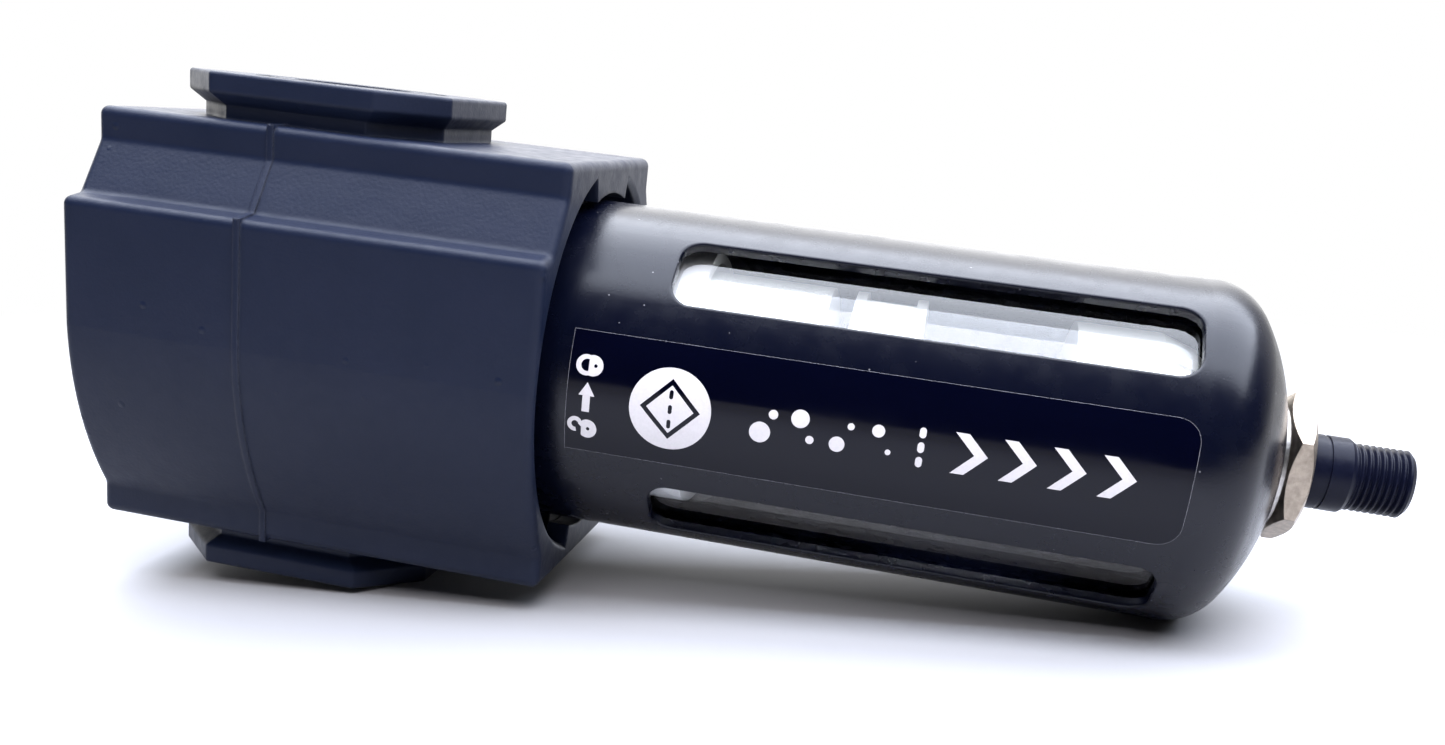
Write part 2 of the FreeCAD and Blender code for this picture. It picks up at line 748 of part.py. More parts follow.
def make_guard_label():
    """A thin glossy label wrapped round the front of the guard."""
    body = new_body("guard_label")
    sketch = new_sketch(body, "XZ_Plane", "LabelSection", turn="label_centre - 90")
    outline(sketch, [
        ("guard_radius", "label_foot"), ("guard_radius + label_thickness", "label_foot"),
        ("guard_radius + label_thickness", "label_top"), ("guard_radius", "label_top"),
    ])
    revolve(body, sketch, "Wrap", "label_angle")
    corner_sketch = new_sketch(body, "XZ_Plane", "Corners", turn="label_centre")
    half_width = "(guard_radius * sin(label_angle / 2))"
    for side, turn in (("", 1), ("-", -1)):
        outline(corner_sketch, [
            (f"{side}({half_width} - label_corner)", "label_foot", "label_corner", turn),
            (f"{side}{half_width}", "label_foot + label_corner"),
            (f"{side}({half_width} + overrun)", "label_foot + label_corner"),
            (f"{side}({half_width} + overrun)", "label_foot - overrun"),
            (f"{side}({half_width} - label_corner)", "label_foot - overrun"),
        ])
    extrude(body, corner_sketch, "CornerCut", "guard_radius + overrun", cut=True, reverse=True)


def make_bowl():
    """The clear bowl: a flange that the guard lifts, a neck with a seal groove, a domed end."""
    neck_bore = "bowl_radius - bowl_wall"
    turned("bowl", [
        ("bowl_flange_radius", "guard_top"), ("bowl_radius", "guard_top"),
        *dome("(guard_radius - bowl_radius)"),
        ("bowl_flat_radius", "guard_floor"), ("drain_hole_radius", "guard_floor"),
        ("drain_hole_radius", "bowl_floor"), ("bowl_floor_radius", "bowl_floor"),
        ("bowl_heel_radius", "bowl_heel_level", "bowl_heel_curve", 1),
        (neck_bore, "bowl_dome_level"), (neck_bore, "bowl_top"), ("bowl_radius", "bowl_top"),
        ("bowl_radius", "seal_level + seal_groove_half"),
        ("seal_groove_radius", "seal_level + seal_groove_half"),
        ("seal_groove_radius", "seal_level - seal_groove_half"),
        ("bowl_radius", "seal_level - seal_groove_half"), ("bowl_radius", "bowl_flange_top"),
        ("bowl_flange_radius", "bowl_flange_top"),
    ])
    round_seal("bowl_seal", "seal_radius", "seal_section", "0", "seal_level")


def make_drain_body():
    """The drain's body: tail thread, collar, stem, flange and piston cylinder in one piece."""
    flange_foot = "(bowl_floor + drain_seal_thickness)"
    flange_top = f"({flange_foot} + drain_flange_thickness)"
    nut_foot = "(guard_foot - washer_thickness - drain_nut_height)"
    collar_middle = f"({nut_foot} + collar_foot) / 2"
    groove_foot = f"{collar_middle} - collar_groove_half"
    groove_top = f"{collar_middle} + collar_groove_half"
    body = turned("drain_body", [
        ("drain_bore", "thread_foot"), ("thread_radius - thread_chamfer", "thread_foot"),
        ("thread_radius", "thread_foot + thread_chamfer"), ("thread_radius", "thread_top"),
        ("collar_radius", "collar_foot"), ("collar_radius", groove_foot),
        ("collar_groove", groove_foot), ("collar_groove", groove_top),
        ("collar_radius", groove_top), ("collar_radius", nut_foot),
        ("drain_stem_radius", nut_foot), ("drain_stem_radius", flange_foot),
        ("drain_flange_radius", flange_foot), ("drain_flange_radius", flange_top),
        ("drain_cylinder_radius", flange_top), ("drain_cylinder_radius", "drain_cylinder_top"),
        ("drain_cylinder_bore", "drain_cylinder_top"), ("drain_cylinder_bore", flange_top),
        ("drain_seat_radius", flange_top), ("drain_seat_radius", flange_foot),
        ("drain_bore", flange_foot),
    ])
    sketch = new_sketch(body, "XZ_Plane", "WaterPort")
    circle(sketch, "0", "drain_port_level", "drain_port_radius")
    port = extrude(body, sketch, "WaterPortCut", "drain_cylinder_radius + overrun", cut=True)
    repeat_round(body, port, "WaterPorts", "drain_port_count")


def make_drain_fastening():
    """Gasket inside the bowl, washer and nut outside the guard."""
    washer_foot = "(guard_foot - washer_thickness)"
    washer("drain_seal", "drain_stem_radius", "drain_seal_radius",
           "bowl_floor", "bowl_floor + drain_seal_thickness")
    washer("drain_washer", "drain_stem_radius", "washer_radius", washer_foot, "guard_foot")
    hex_nut("drain_nut", "drain_nut_flats", f"({washer_foot} - drain_nut_height)",
            "drain_nut_height", "drain_stem_radius")


def make_drain_piston():
    """The piston that opens the drain, with its seal, its valve seal and its spring."""
    seat = "(bowl_floor + drain_seal_thickness)"
    seal_top = f"({seat} - seat_gap)"
    head_top = f"({seal_top} - valve_seal_height)"
    head_foot = f"({head_top} - valve_head_height)"
    piston_foot = "(piston_top - piston_height)"
    middle = "(piston_top - piston_height / 2)"
    groove_foot = f"{middle} - piston_groove_half"
    groove_top = f"{middle} + piston_groove_half"
    turned("drain_piston", [
        ("0", head_foot), ("valve_radius", head_foot),
        ("valve_radius", head_top), ("piston_stem", head_top), ("piston_stem", piston_foot),
        ("piston_radius", piston_foot), ("piston_radius", groove_foot),
        ("piston_groove", groove_foot), ("piston_groove", groove_top),
        ("piston_radius", groove_top), ("piston_radius", "piston_top"), ("0", "piston_top"),
    ])
    washer("valve_seal", "piston_stem", "valve_radius", head_top, seal_top)
    round_seal("piston_seal", "piston_seal_radius", "piston_seal_section", "0", middle)
    make_piston_spring(f"({seat} + drain_flange_thickness)", piston_foot)


def make_piston_spring(foot, top):
    """A coil spring between the drain's flange and the piston."""
    height = f"({top} - {foot} - 2 * (spring_wire + seat_gap))"
    helix = document.addObject("Part::Helix", "SpringLine")
    bind(helix, "Radius", "spring_radius")
    bind(helix, "Height", height)
    bind(helix, "Pitch", f"{height} / spring_turns")
    section = document.addObject("Part::Circle", "SpringSection")
    bind(section, "Radius", "spring_wire")
    upright = FreeCAD.Rotation(FreeCAD.Vector(1, 0, 0), 90)
    section.Placement = FreeCAD.Placement(FreeCAD.Vector(size("spring_radius"), 0, 0), upright)
    coil = document.addObject("Part::Sweep", "piston_spring")
    coil.Sections = [section]
    coil.Spine = (helix, ["Edge1"])
    coil.Solid = True
    coil.Frenet = True
    bind(coil, "Placement.Base.z", f"{foot} + spring_wire + seat_gap")
    keep(coil, "piston_spring")


def make_pilot_cap():
    """The cap on the piston cylinder, with the nozzle that the float opens."""
    turned("pilot_cap", [
        ("pilot_hole", "piston_top + pilot_cap_gap"),
        ("pilot_cap_spigot", "piston_top + pilot_cap_gap"),
        ("pilot_cap_spigot", "drain_cylinder_top"), ("drain_cylinder_radius", "drain_cylinder_top"),
        ("drain_cylinder_radius", "pilot_cap_top"), ("pilot_nozzle_radius", "pilot_cap_top"),
        ("pilot_tip_radius", "pilot_tip"), ("pilot_hole", "pilot_tip"),
    ])


def make_float():
    """A foam float shaped as a deep cup round the piston cylinder, and its rubber pad."""
    turned("drain_float", [
        ("0", "float_top"), ("0", "pilot_pad_top"), ("pilot_pad_radius", "pilot_pad_top"),
        ("pilot_pad_radius", "float_roof"), ("float_bore", "float_roof"),
        ("float_bore", "float_foot"), ("float_foot_radius", "float_foot"),
        ("float_radius", "float_shoulder"), ("float_radius", "float_top"),
    ])
    turned("pilot_seal", [
        ("0", "pilot_tip + seat_gap"), ("pilot_pad_radius", "pilot_tip + seat_gap"),
        ("pilot_pad_radius", "pilot_pad_top"), ("0", "pilot_pad_top"),
    ])


def make_float_cage():
    """The housing over the float, open below through slots and above through a hole."""
    foot = "(bowl_floor + drain_seal_thickness + drain_flange_thickness)"
    bore = "(cage_radius - cage_wall)"
    body = turned("float_housing", [
        ("drain_cylinder_radius", foot), ("cage_foot_radius", foot),
        ("cage_radius", "float_shoulder"), ("cage_radius", "cage_top"),
        ("cage_hole", "cage_top"), ("cage_hole", "cage_top - cage_cover"),
        (bore, "cage_top - cage_cover"), (bore, "float_shoulder"),
        ("cage_foot_radius - cage_wall", f"{foot} + cage_cover"),
        ("drain_cylinder_radius", f"{foot} + cage_cover"),
    ])
    sketch = new_sketch(body, "XZ_Plane", "SlotOutline")
    low = f"{foot} + cage_slot_foot"
    high = "float_shoulder - cage_slot_drop"
    outline(sketch, [
        ("-cage_slot_half", high), ("-cage_slot_half", low),
        ("cage_slot_half", low), ("cage_slot_half", high),
    ])
    slot = extrude(body, sketch, "Slot", "cage_radius + overrun", cut=True)
    repeat_round(body, slot, "Slots", "cage_slot_count")


def check_and_write():
    """Stop if anything failed to build, then write one file for each sub-part."""
    document.recompute()
    failed = [thing.Name for thing in document.Objects
              if "Invalid" in thing.State or "Error" in thing.State]
    if failed:
        raise RuntimeError(f"failed objects: {failed}")
    for thing in sub_parts:
        shape = thing.Shape
        if shape.isNull() or not shape.isValid() or not shape.Solids:
            raise RuntimeError(f"bad shape: {thing.Label}")
    os.makedirs("parts", exist_ok=True)
    for thing in sub_parts:
        thing.Shape.exportStep(f"parts/{thing.Label}.step")
        print(thing.Label, len(thing.Shape.Solids), round(thing.Shape.Volume, 1))


make_filter_body()
make_port_seals()
make_air_deflector()
make_filter_element()
make_retaining_stud()
make_quiet_zone_baffle()
make_bowl_guard()
make_guard_label()
make_bowl()
make_drain_body()
make_drain_fastening()
make_drain_piston()
make_pilot_cap()
make_float()
make_float_cage()
check_and_write()
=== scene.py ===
import bmesh
import bpy
import json
import math
from mathutils import Matrix, Vector


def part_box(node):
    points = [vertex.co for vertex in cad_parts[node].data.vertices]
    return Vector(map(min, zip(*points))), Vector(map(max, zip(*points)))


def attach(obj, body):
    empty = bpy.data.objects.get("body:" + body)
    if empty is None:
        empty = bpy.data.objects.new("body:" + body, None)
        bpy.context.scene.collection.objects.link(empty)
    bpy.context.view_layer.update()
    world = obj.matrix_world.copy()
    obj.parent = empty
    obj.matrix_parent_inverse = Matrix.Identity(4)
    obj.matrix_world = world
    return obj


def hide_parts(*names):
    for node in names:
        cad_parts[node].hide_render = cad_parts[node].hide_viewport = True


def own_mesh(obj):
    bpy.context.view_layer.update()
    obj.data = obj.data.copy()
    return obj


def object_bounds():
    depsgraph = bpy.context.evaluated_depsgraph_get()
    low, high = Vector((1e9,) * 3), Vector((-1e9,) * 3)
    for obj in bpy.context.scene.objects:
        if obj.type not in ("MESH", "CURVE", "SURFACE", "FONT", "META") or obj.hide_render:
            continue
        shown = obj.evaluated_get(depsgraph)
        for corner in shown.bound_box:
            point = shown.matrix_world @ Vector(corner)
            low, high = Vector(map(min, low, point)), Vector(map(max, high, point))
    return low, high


# Looks of the compressed air filter. Lengths are in metres, in the frame of the CAD model:
# +Z up, bowl down, the front with the label towards -Y, air flowing along +X.

MM = 0.001

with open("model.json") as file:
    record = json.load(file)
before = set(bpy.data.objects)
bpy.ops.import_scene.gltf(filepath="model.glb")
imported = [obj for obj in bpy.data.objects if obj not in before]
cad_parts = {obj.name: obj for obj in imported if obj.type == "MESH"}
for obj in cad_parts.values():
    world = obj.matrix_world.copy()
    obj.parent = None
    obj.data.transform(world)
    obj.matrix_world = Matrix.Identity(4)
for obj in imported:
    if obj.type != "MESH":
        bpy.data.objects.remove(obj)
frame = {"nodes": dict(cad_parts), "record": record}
cad_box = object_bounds()
nodes = frame["nodes"]


# ---------------------------------------------------------------------------------------------
# Building materials
# ---------------------------------------------------------------------------------------------

# Smooth noise runs from 0 to 1, but most of it lies between these two.
NOISE_LOW = 0.3
NOISE_HIGH = 0.7

# How well a rounded normal agrees with the true one: on flats, and on edges that are worn.
FLAT_AGREEMENT = 0.98
EDGE_AGREEMENT = 0.8


class NodeTree:
    """A tree of shader nodes, with helpers that add nodes and links to it."""

    def __init__(self, tree):
        self.tree = tree

    def node(self, kind, **settings):
        """A new shader node with some of its settings."""
        made = self.tree.nodes.new("ShaderNode" + kind)
        for name, value in settings.items():
            setattr(made, name, value)
        return made

    def feed(self, socket, value):
        """Link another node's output to a socket, or give it a plain value."""
        if isinstance(value, bpy.types.NodeSocket):
            self.tree.links.new(value, socket)
        else:
            socket.default_value = value

    def math(self, operation, first, second):
        """One arithmetic step."""
        made = self.node("Math", operation=operation)
        self.feed(made.inputs[0], first)
        self.feed(made.inputs[1], second)
        return made.outputs[0]

    def plus(self, first, second):
        """The sum of two values."""
        return self.math("ADD", first, second)

    def times(self, first, second):
        """The product of two values."""
        return self.math("MULTIPLY", first, second)

    def between(self, value, low, high, at_low=0.0, at_high=1.0):
        """Value's stretch from low to high, mapped to at_low to at_high and clamped."""
        made = self.node("MapRange")
        for name, number in zip(("Value", "From Min", "From Max", "To Min", "To Max"),
                                (value, low, high, at_low, at_high)):
            self.feed(made.inputs[name], number)
        return made.outputs["Result"]


class Shader(NodeTree):
    """One procedural material round a Principled surface, with helpers for its patterns."""

    def __init__(self, name, colour, roughness, metallic=0.0, specular=0.5):
        self.material = bpy.data.materials.new(name)
        self.material.use_nodes = True
        super().__init__(self.material.node_tree)
        self.surface = self.tree.nodes["Principled BSDF"]
        self.place = self.node("TexCoord").outputs["Object"]
        self.put("Base Color", (*colour, 1.0))
        self.put("Roughness", roughness)
        self.put("Metallic", metallic)
        self.put("Specular IOR Level", specular)

    def put(self, name, value):
        """Feed an input of the surface."""
        self.feed(self.surface.inputs[name], value)

    def show(self, surface):
        """Make another surface the visible one."""
        self.feed(self.tree.nodes["Material Output"].inputs["Surface"], surface)

    def stretched(self, x, y, z):
        """The object's coordinates, each scaled by a factor."""
        made = self.node("Mapping")
        self.feed(made.inputs["Vector"], self.place)
        self.feed(made.inputs["Scale"], (x, y, z))
        return made.outputs["Vector"]

    def noise(self, size, detail=2.0, vector=None):
        """Smooth noise from 0 to 1 whose patches are about size metres wide."""
        made = self.node("TexNoise")
        self.feed(made.inputs["Vector"], vector or self.place)
        self.feed(made.inputs["Scale"], 1.0 / size)
        self.feed(made.inputs["Detail"], detail)
        return made.outputs["Fac"]

    def cells(self, size):
        """Distance to the nearest of many scattered points about size metres apart, as a share
        of size."""
        made = self.node("TexVoronoi")
        self.feed(made.inputs["Vector"], self.place)
        self.feed(made.inputs["Scale"], 1.0 / size)
        return made.outputs["Distance"]

    def spots(self, apart, core, rim):
        """Round spots about apart metres apart: 1 inside core, 0 outside rim. Core and rim are
        shares of apart."""
        return self.between(self.cells(apart), rim, core)

    def blend(self, share, first, second):
        """A colour that goes from first to second with share. First may be another's output."""
        made = self.node("Mix", data_type="RGBA")
        self.feed(made.inputs["Factor"], share)
        self.feed(made.inputs["A"], first if isinstance(first, bpy.types.NodeSocket) else (*first, 1.0))
        self.feed(made.inputs["B"], (*second, 1.0))
        return made.outputs["Result"]

    def vary_colour(self, share, first, second):
        """Let the surface's colour go from first to second with share."""
        self.put("Base Color", self.blend(share, first, second))

    def vary_roughness(self, pattern, smooth, rough, low=NOISE_LOW, high=NOISE_HIGH):
        """Let the surface go from smooth to rough as a pattern goes from low to high."""
        self.put("Roughness", self.between(pattern, low, high, smooth, rough))

    def mix_surfaces(self, share, first, second):
        """A surface that goes from first to second with share."""
        made = self.node("MixShader")
        for socket, value in zip(made.inputs, (share, first, second)):
            self.feed(socket, value)
        return made.outputs["Shader"]

    def rounded_normal(self, radius):
        """The surface's direction as if its edges had a small radius."""
        made = self.node("Bevel")
        self.feed(made.inputs["Radius"], radius)
        return made.outputs["Normal"]

    def worn_edges(self, radius):
        """1 on sharp edges of the shape, 0 on its flats."""
        product = self.node("VectorMath", operation="DOT_PRODUCT")
        self.feed(product.inputs[0], self.rounded_normal(radius))
        self.feed(product.inputs[1], self.node("NewGeometry").outputs["Normal"])
        return self.between(product.outputs["Value"], FLAT_AGREEMENT, EDGE_AGREEMENT)

    def bump(self, pattern, height, soften=0.0):
        """Raise the surface by a pattern, height metres where it is 1. Soften rounds its edges."""
        made = self.node("Bump")
        self.feed(made.inputs["Strength"], 1.0)
        self.feed(made.inputs["Distance"], height)
        self.feed(made.inputs["Height"], pattern)
        if soften:
            self.feed(made.inputs["Normal"], self.rounded_normal(soften))
        self.put("Normal", made.outputs["Normal"])


# ---------------------------------------------------------------------------------------------
# Materials
# ---------------------------------------------------------------------------------------------

# Linear colours, red, green and blue. Shade and light are the two ends of a material's own range.
NAVY = (0.007, 0.011, 0.028)
NAVY_SHADE = (0.005, 0.009, 0.024)
NAVY_LIGHT = (0.009, 0.013, 0.031)
NAVY_RUBBED = (0.12, 0.13, 0.17)
GUARD_BLACK = (0.0012, 0.002, 0.008)
DUST_GREY = (0.5, 0.5, 0.52)
FILM_BLACK = (0.0004, 0.0007, 0.005)
FILM_LIGHT = (0.0008, 0.0012, 0.007)
FILM_EDGE = (0.4, 0.4, 0.44)
INK = (0.66, 0.63, 0.65)
INK_SHADE = (0.6, 0.575, 0.59)
INK_LIGHT = (0.72, 0.69, 0.71)
CLEAR = (0.98, 0.985, 0.99)
CLEAR_SHADOW = (0.95, 0.96, 0.97)
WHITE = (0.92, 0.92, 0.91)
WHITE_SHADE = (0.9, 0.9, 0.89)
WHITE_LIGHT = (0.95, 0.95, 0.94)
GRAIN_GAP = (0.84, 0.84, 0.83)
FOAM = (0.78, 0.77, 0.72)
FOAM_SHADE = (0.7, 0.69, 0.64)
FOAM_LIGHT = (0.83, 0.82, 0.77)
NYLON_BLACK = (0.003, 0.004, 0.013)
NYLON_SHADE = (0.003, 0.004, 0.011)
NYLON_LIGHT = (0.005, 0.006, 0.017)
RUBBER_BLACK = (0.008, 0.008, 0.009)
RUBBER_SHADE = (0.006, 0.006, 0.007)
RUBBER_LIGHT = (0.014, 0.014, 0.015)
PAPER = (0.4, 0.4, 0.415)

POLYCARBONATE_IOR = 1.58


def body_paint():
    """Matt navy-charcoal paint on a die casting, lightly orange-peeled and rubbed on its edges."""
    rub_strength = 0.35
    wave_strength = 2.0
    blister_strength = 4.0
    shader = Shader("body_paint", NAVY, roughness=0.5, specular=0.2)
    tone = shader.blend(shader.noise(9 * MM, detail=3.0), NAVY_SHADE, NAVY_LIGHT)
    rubbed = shader.times(shader.worn_edges(0.5 * MM), shader.noise(1.5 * MM))
    shader.vary_colour(shader.times(rubbed, rub_strength), tone, NAVY_RUBBED)
    shader.vary_roughness(shader.noise(2 * MM), smooth=0.36, rough=0.47)
    waves = shader.times(shader.noise(4 * MM), wave_strength)
    blisters = shader.times(shader.spots(7 * MM, core=0.02, rim=0.09), blister_strength)
    relief = shader.plus(shader.plus(shader.noise(0.5 * MM), waves), blisters)
    shader.bump(relief, height=0.03 * MM, soften=0.7 * MM)
    return shader.material


def guard_coat():
    """Satin black powder coat with a fine grain and a few specks of dust."""
    dust_strength = 0.3
    shader = Shader("guard_coat", GUARD_BLACK, roughness=0.24, specular=0.35)
    dust = shader.spots(3.2 * MM, core=0.03, rim=0.045)
    shader.vary_colour(shader.times(dust, dust_strength), GUARD_BLACK, DUST_GREY)
    shader.vary_roughness(shader.noise(3 * MM, detail=4.0), smooth=0.22, rough=0.3)
    shader.bump(shader.noise(0.35 * MM, detail=1.0), height=0.008 * MM, soften=0.25 * MM)
    return shader.material


def label_film():
    """Glossy black film, slightly uneven, with a pale cut edge."""
    shader = Shader("label_film", FILM_BLACK, roughness=0.12, specular=0.24)
    smears = shader.noise(6 * MM, detail=5.0, vector=shader.stretched(1.0, 1.0, 0.4))
    shader.vary_roughness(smears, smooth=0.07, rough=0.2, low=0.4, high=0.75)
    film = shader.blend(smears, FILM_BLACK, FILM_LIGHT)
    shader.vary_colour(shader.worn_edges(0.12 * MM), film, FILM_EDGE)
    shader.bump(shader.noise(5 * MM), height=0.02 * MM)
    return shader.material


def print_ink():
    """Silver-white screen print with a slightly uneven lay-down."""
    shader = Shader("print_ink", INK, roughness=0.45)
    uneven = shader.noise(0.4 * MM, detail=4.0)
    shader.vary_colour(uneven, INK_SHADE, INK_LIGHT)
    shader.bump(uneven, height=0.004 * MM)
    return shader.material


def clear_plastic():
    """Clear moulded polycarbonate. Rays that only carry light go straight through it, so that
    what is inside isn't left dark."""
    shader = Shader("clear_plastic", CLEAR, roughness=0.02)
    shader.put("Transmission Weight", 1.0)
    shader.put("IOR", POLYCARBONATE_IOR)
    shader.vary_roughness(shader.noise(4 * MM), smooth=0.005, rough=0.03, low=0.4, high=0.8)
    shader.bump(shader.noise(7 * MM), height=0.01 * MM)
    open_way = shader.node("BsdfTransparent")
    shader.feed(open_way.inputs["Color"], (*CLEAR_SHADOW, 1.0))
    path = shader.node("LightPath")
    not_seen = shader.math("MAXIMUM", path.outputs["Is Shadow Ray"], path.outputs["Is Diffuse Ray"])
    shader.show(shader.mix_surfaces(not_seen, shader.surface.outputs["BSDF"], open_way.outputs["BSDF"]))
    return shader.material


def white_plastic():
    """White moulded acetal with faint flow marks."""
    shader = Shader("white_plastic", WHITE, roughness=0.38)
    flow = shader.noise(3 * MM, detail=3.0, vector=shader.stretched(1.0, 1.0, 0.3))
    shader.vary_colour(flow, WHITE_SHADE, WHITE_LIGHT)
    shader.vary_roughness(flow, smooth=0.3, rough=0.45)
    shader.bump(shader.noise(0.8 * MM), height=0.01 * MM)
    return shader.material


def sintered_plastic():
    """White porous tube of fused grains."""
    shader = Shader("sintered_plastic", WHITE, roughness=0.8)
    gaps = shader.cells(0.35 * MM)
    shader.vary_colour(gaps, WHITE_LIGHT, GRAIN_GAP)
    shader.bump(shader.math("SUBTRACT", 1.0, gaps), height=0.12 * MM)
    return shader.material


def float_foam():
    """Closed-cell foam, off-white, with open cut cells."""
    shader = Shader("float_foam", FOAM, roughness=0.85)
    pores = shader.cells(0.6 * MM)
    shader.vary_colour(pores, FOAM_SHADE, FOAM_LIGHT)
    shader.bump(pores, height=0.15 * MM)
    return shader.material


def black_plastic():
    """Black moulded nylon with a satin sheen and faint mould texture."""
    shader = Shader("black_plastic", NYLON_BLACK, roughness=0.35, specular=0.14)
    grain = shader.noise(0.5 * MM, detail=3.0)
    shader.vary_colour(grain, NYLON_SHADE, NYLON_LIGHT)
    shader.vary_roughness(grain, smooth=0.28, rough=0.42)
    shader.bump(grain, height=0.01 * MM)
    return shader.material


def plated_metal(name, warm, bright):
    """Plated metal with turning marks, small dents and dull patches. Warm is how much blue it
    lacks, as a share."""
    dullness = 0.72
    mark_strength = 0.5
    colour = (bright, bright * (1 - warm / 2), bright * (1 - warm))
    dull = tuple(dullness * channel for channel in colour)
    shader = Shader(name, colour, roughness=0.3, metallic=1.0)
    dents = shader.noise(0.9 * MM, detail=5.0)
    marks = shader.noise(0.25 * MM, vector=shader.stretched(0.15, 0.15, 3.0))
    shader.vary_colour(shader.between(dents, 0.35, 0.65), dull, colour)
    shader.vary_roughness(marks, smooth=0.28, rough=0.48)
    relief = shader.plus(dents, shader.times(marks, mark_strength))
    shader.bump(relief, height=0.04 * MM, soften=0.2 * MM)
    return shader.material


def rubber():
    """Black nitrile rubber with a dull bloom."""
    shader = Shader("seal_rubber", RUBBER_BLACK, roughness=0.6, specular=0.2)
    bloom = shader.noise(1.2 * MM, detail=4.0)
    shader.vary_colour(bloom, RUBBER_SHADE, RUBBER_LIGHT)
    shader.vary_roughness(bloom, smooth=0.5, rough=0.75)
    shader.bump(bloom, height=0.01 * MM)
    return shader.material


def floor_paper():
    """White paper that glows into the pale room far from the object. It is seen only from its
    upper side, so that it hides nothing from a camera below it."""
    shader = Shader("floor_paper", PAPER, roughness=0.8, specular=0.1)
    shader.bump(shader.noise(1.5 * MM), height=0.02 * MM)
    distance = shader.node("VectorMath", operation="LENGTH")
    shader.feed(distance.inputs[0], shader.place)
    glow = shader.node("Emission")
    shader.feed(glow.inputs["Strength"], 1.0)
    far = shader.between(distance.outputs["Value"], GLOW_START, GLOW_FULL)
    lit = shader.mix_surfaces(far, shader.surface.outputs["BSDF"], glow.outputs["Emission"])
    behind = shader.node("NewGeometry").outputs["Backfacing"]
    clear = shader.node("BsdfTransparent").outputs["BSDF"]
    shader.show(shader.mix_surfaces(behind, lit, clear))
    return shader.material


def finish_by_slot():
    """Every material slot of the record, with its finish."""
    return {
        "body_paint": body_paint(),
        "guard_coat": guard_coat(),
        "label_film": label_film(),
        "clear_plastic": clear_plastic(),
        "white_plastic": white_plastic(),
        "sintered_plastic": sintered_plastic(),
        "float_foam": float_foam(),
        "black_plastic": black_plastic(),
        "plated_steel": plated_metal("plated_steel", warm=0.08, bright=0.6),
        "plated_brass": plated_metal("plated_brass", warm=0.3, bright=0.46),
        "seal_rubber": rubber(),
    }


def paint_nodes(finishes):
    """Give each CAD node the finish of its slot in the record."""
    for part in frame["record"]["subparts"]:
        for slot in nodes[part["node"]].material_slots:
            slot.link = "OBJECT"
            slot.material = finishes[part["material_slot"]]


# ---------------------------------------------------------------------------------------------
# Making pieces
# ---------------------------------------------------------------------------------------------

def slice_mesh(work, normal, places):
    """Cut a bmesh along parallel planes, one through each place."""
    for place in places:
        everything = [*work.verts, *work.edges, *work.faces]
        bmesh.ops.bisect_plane(work, geom=everything, plane_co=place, plane_no=normal)


def add_piece(name, mesh, finish):
    """A new piece that moves with the bowl, with the given finish."""
    mesh.materials.clear()
    mesh.materials.append(finish)
    piece = bpy.data.objects.new(name, mesh)
    bpy.context.scene.collection.objects.link(piece)
    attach(piece, "bowl_assembly")
    return piece


# ---------------------------------------------------------------------------------------------
# Print on the label
# ---------------------------------------------------------------------------------------------

# Drawings are lists of closed outlines of (along, across) points in millimetres. Along runs down
# the label from its top edge and across runs round the guard, towards +X. An outline inside
# another is a hole in it.

PRINT_HEIGHT = 0.03 * MM
PRINT_STEP = 0.8 * MM
SAME_POINT = 0.001 * MM

CLOSED_LOCK_PLACE = (2.9, 3.9)
ARROW_PLACE = (2.9, -0.6)
ARROW_LENGTH = 4.2
OPEN_LOCK_PLACE = (1.5, -5.2)
SIGN_PLACE = (14.9, -0.5)
SIGN_RADIUS = 5.8
STRIP_START = 25.0
STRIP_END = 78.0
STRIP_ACROSS = -0.3
STRIP_HEIGHT = 5.6

# Points per curve.
BAR_END_POINTS = 9
HOLE_POINTS = 16
HOOK_POINTS = 20
LOCK_POINTS = 24
DOT_POINTS = 40
SIGN_POINTS = 72

# The arrow: half widths as shares of its length, and its head's length as a share of the head's
# half width.
ARROW_HEAD = 0.28
ARROW_SHAFT = 0.13
ARROW_HEAD_LENGTH = 1.6

# The closed padlock: a round body and a ring of the same size. Turns are in degrees from the way
# down the label.
LOCK_RADIUS = 1.48
LOCK_APART = 0.95
RING_HOLE_SIZE = 0.58
RING_HOLE_SHIFT = 0.1
RING_HOLE_TURN = 72
KEYHOLE_RADIUS = 0.26
KEYHOLE_SHIFT = 0.4

# The open padlock: a slightly smaller body with a flat side, and a hook. Sizes are shares of
# LOCK_RADIUS, and the hook's hole is a share of the hook. Turns are in degrees from the way down.
OPEN_BODY_SIZE = 0.93
OPEN_KEYHOLE_SHIFT = 0.1
FLAT_TURN = 130
CORNER_SHIFT = 0.2
HOOK_SIZE = 0.76
HOOK_APART = 1.8
HOOK_SHIFT = 0.5
HOOK_START = 45
HOOK_END = 280
HOOK_HOLE_SIZE = 0.45
HOOK_HOLE_END = 10

# The filter sign: shares of its radius, and the diamond's line as a share of the dashes' width.
# The strip's screen has the same DASH_PITCH, as a share of the strip's height.
SIGN_REACH = 0.74
SIGN_STROKE = 0.1
SIGN_LINE = 1.6
SIGN_DASH = 0.22
DASH_PITCH = 0.36

# The strip of dust, screen and chevrons: places in steps along it, sizes as shares of its height.
STRIP_STEPS = 10
DUST_COUNT = 4
DUST_SIZE = 0.26
DUST_SHRINK = 0.035
DUST_SIDE = 0.24
SMALL_DUST_SIZE = 0.45
SMALL_DUST_STEP = 0.3
SCREEN_STEP = 4.6
SCREEN_DASH = 0.26
CHEVRON_COUNT = 4
CHEVRON_START = 5.4
CHEVRON_APART = 1.2
STROKE = 0.9


def arc_points(along, across, radius, start, end, count):
    """Points on an arc, both ends included; angles in degrees from along towards across."""
    turns = [math.radians(start + (end - start) * index / (count - 1)) for index in range(count)]
    return [(along + radius * math.cos(turn), across + radius * math.sin(turn)) for turn in turns]


